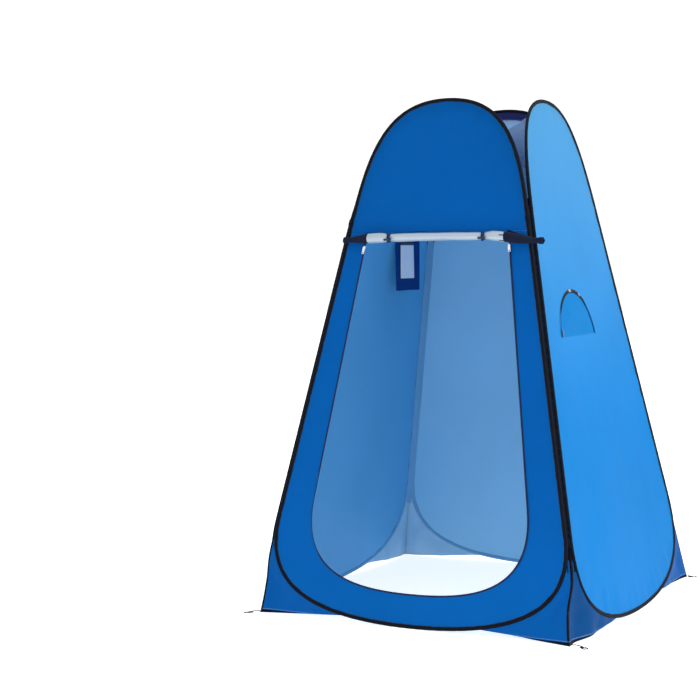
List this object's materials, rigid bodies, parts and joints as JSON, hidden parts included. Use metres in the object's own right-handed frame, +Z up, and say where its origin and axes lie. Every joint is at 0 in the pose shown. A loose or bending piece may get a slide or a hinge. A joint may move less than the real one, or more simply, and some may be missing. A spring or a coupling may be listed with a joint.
{
  "type": "privacy shower tent",
  "caption": "Pop-up privacy shower tent: sprung wire loops with taut fabric walls, corners that fold, a rolled-up door, a flap window and a see-through roof.",
  "frame": {"origin": "on the ground at the centre of the square base", "axes": "+Z up; the door wall faces -Y and the window wall faces +X"},
  "size_m": [1.3486, 1.3486, 1.8998],
  "materials": {
    "blue_fabric": "satin",
    "binding": "matt",
    "spring_steel": "satin",
    "roof_mesh": "matt",
    "zip_chain": "matt",
    "silver_lining": "satin",
    "webbing": "matt",
    "toggle_plastic": "matt",
    "pocket_fabric": "satin",
    "card": "satin",
    "zip_metal": "polished"
  },
  "bodies": {
    "front_wall": {"front_frame_sleeve": "binding", "front_spring_wire": "spring_steel", "front_wire_ferrule": "spring_steel", "front_header": "blue_fabric", "front_door_surround": "blue_fabric", "front_gusset_left": "blue_fabric", "front_gusset_right": "blue_fabric", "front_roof_mesh": "roof_mesh", "door_zip_chain": "zip_chain", "rolled_door": "silver_lining", "door_tie_left": "webbing", "door_tie_right": "webbing", "door_toggle_left": "toggle_plastic", "door_toggle_right": "toggle_plastic", "side_tab_left": "webbing", "side_tab_right": "webbing", "peg_tab_front_left": "webbing", "peg_tab_front_right": "webbing", "corner_tape_front_left": "binding", "corner_tape_front_right": "binding"},
    "right_wall": {"right_frame_sleeve": "binding", "right_spring_wire": "spring_steel", "right_wire_ferrule": "spring_steel", "right_panel": "blue_fabric", "right_gusset_left": "blue_fabric", "right_gusset_right": "blue_fabric", "right_roof_mesh": "roof_mesh", "window_screen": "roof_mesh", "window_zip_chain": "zip_chain", "corner_tape_back_right": "binding"},
    "back_wall": {"back_frame_sleeve": "binding", "back_spring_wire": "spring_steel", "back_wire_ferrule": "spring_steel", "back_panel": "blue_fabric", "back_gusset_left": "blue_fabric", "back_gusset_right": "blue_fabric", "back_roof_mesh": "roof_mesh", "peg_tab_back_left": "webbing", "peg_tab_back_right": "webbing"},
    "left_wall": {"left_frame_sleeve": "binding", "left_spring_wire": "spring_steel", "left_wire_ferrule": "spring_steel", "left_panel": "blue_fabric", "left_gusset_left": "blue_fabric", "left_gusset_right": "blue_fabric", "left_roof_mesh": "roof_mesh", "corner_tape_back_left": "binding"},
    "door_slider_left": {"door_zip_slider_left": "zip_metal"},
    "door_pull_left": {"door_zip_pull_left": "zip_metal"},
    "door_slider_right": {"door_zip_slider_right": "zip_metal"},
    "door_pull_right": {"door_zip_pull_right": "zip_metal"},
    "window_flap": {"window_flap": "blue_fabric"},
    "window_slider": {"window_zip_slider": "zip_metal"},
    "window_pull": {"window_zip_pull": "zip_metal"},
    "pocket": {"toiletry_pocket": "pocket_fabric", "pocket_card": "card"}
  },
  "joints": [
    {"name": "right_wall_fold", "type": "hinge", "parent": "front_wall", "child": "right_wall", "pos_m": [0.64, -0.64, 0], "axis": [-0.187, 0.187, 0.9644], "range_deg": [0, 86], "stiffness_Nm_per_rad": 4, "deforming": ["corner_tape_front_right", "front_roof_mesh", "right_roof_mesh"]},
    {"name": "left_wall_fold", "type": "hinge", "parent": "front_wall", "child": "left_wall", "pos_m": [-0.64, -0.64, 0], "axis": [0.187, 0.187, 0.9644], "range_deg": [0, 84.8], "deforming": ["corner_tape_front_left", "corner_tape_back_left", "left_roof_mesh"]},
    {"name": "back_wall_fold", "type": "hinge", "parent": "right_wall", "child": "back_wall", "pos_m": [0.64, 0.64, 0], "axis": [0.187, 0.187, -0.9644], "range_deg": [0, 84.8], "deforming": ["corner_tape_back_right", "back_roof_mesh"]},
    {"name": "door_slider_left_travel", "type": "slide", "parent": "front_wall", "child": "door_slider_left", "axis": [-0.139, -0.1885, -0.9722], "range_m": [0, 0.85]},
    {"name": "door_pull_left_swing", "type": "hinge", "parent": "door_slider_left", "child": "door_pull_left", "pos_m": [-0.28986, -0.3911, 1.35508], "axis": [-0.9903, 0.0265, 0.1365], "range_deg": [0, 100]},
    {"name": "door_slider_right_travel", "type": "slide", "parent": "front_wall", "child": "door_slider_right", "axis": [0.139, -0.1885, -0.9722], "range_m": [0, 0.85]},
    {"name": "door_pull_right_swing", "type": "hinge", "parent": "door_slider_right", "child": "door_pull_right", "pos_m": [0.28986, -0.3911, 1.35508], "axis": [-0.9903, -0.0265, -0.1365], "range_deg": [0, 100]},
    {"name": "window_flap_open", "type": "hinge", "parent": "right_wall", "child": "window_flap", "pos_m": [0.44974, -0.108, 1.02044], "axis": [0, 1, 0], "range_deg": [0, 170]},
    {"name": "window_slider_travel", "type": "hinge", "parent": "right_wall", "child": "window_slider", "pos_m": [0.45281, -0.108, 1.00881], "axis": [-0.9817, 0, -0.1904], "range_deg": [0, 156]},
    {"name": "window_pull_swing", "type": "hinge", "parent": "window_slider", "child": "window_pull", "pos_m": [0.45089, -0.28199, 1.04678], "axis": [-0.0376, -0.9803, 0.194], "range_deg": [0, 160]},
    {"name": "pocket_swing", "type": "hinge", "parent": "left_wall", "child": "pocket", "pos_m": [-0.36449, 0.137, 1.4], "axis": [0, 1, 0], "range_deg": [-25, 9]}
  ],
  "couplings": [
    {"joint": "left_wall_fold", "follows": "right_wall_fold", "ratio": 0.985},
    {"joint": "back_wall_fold", "follows": "right_wall_fold", "ratio": 0.985}
  ]
}
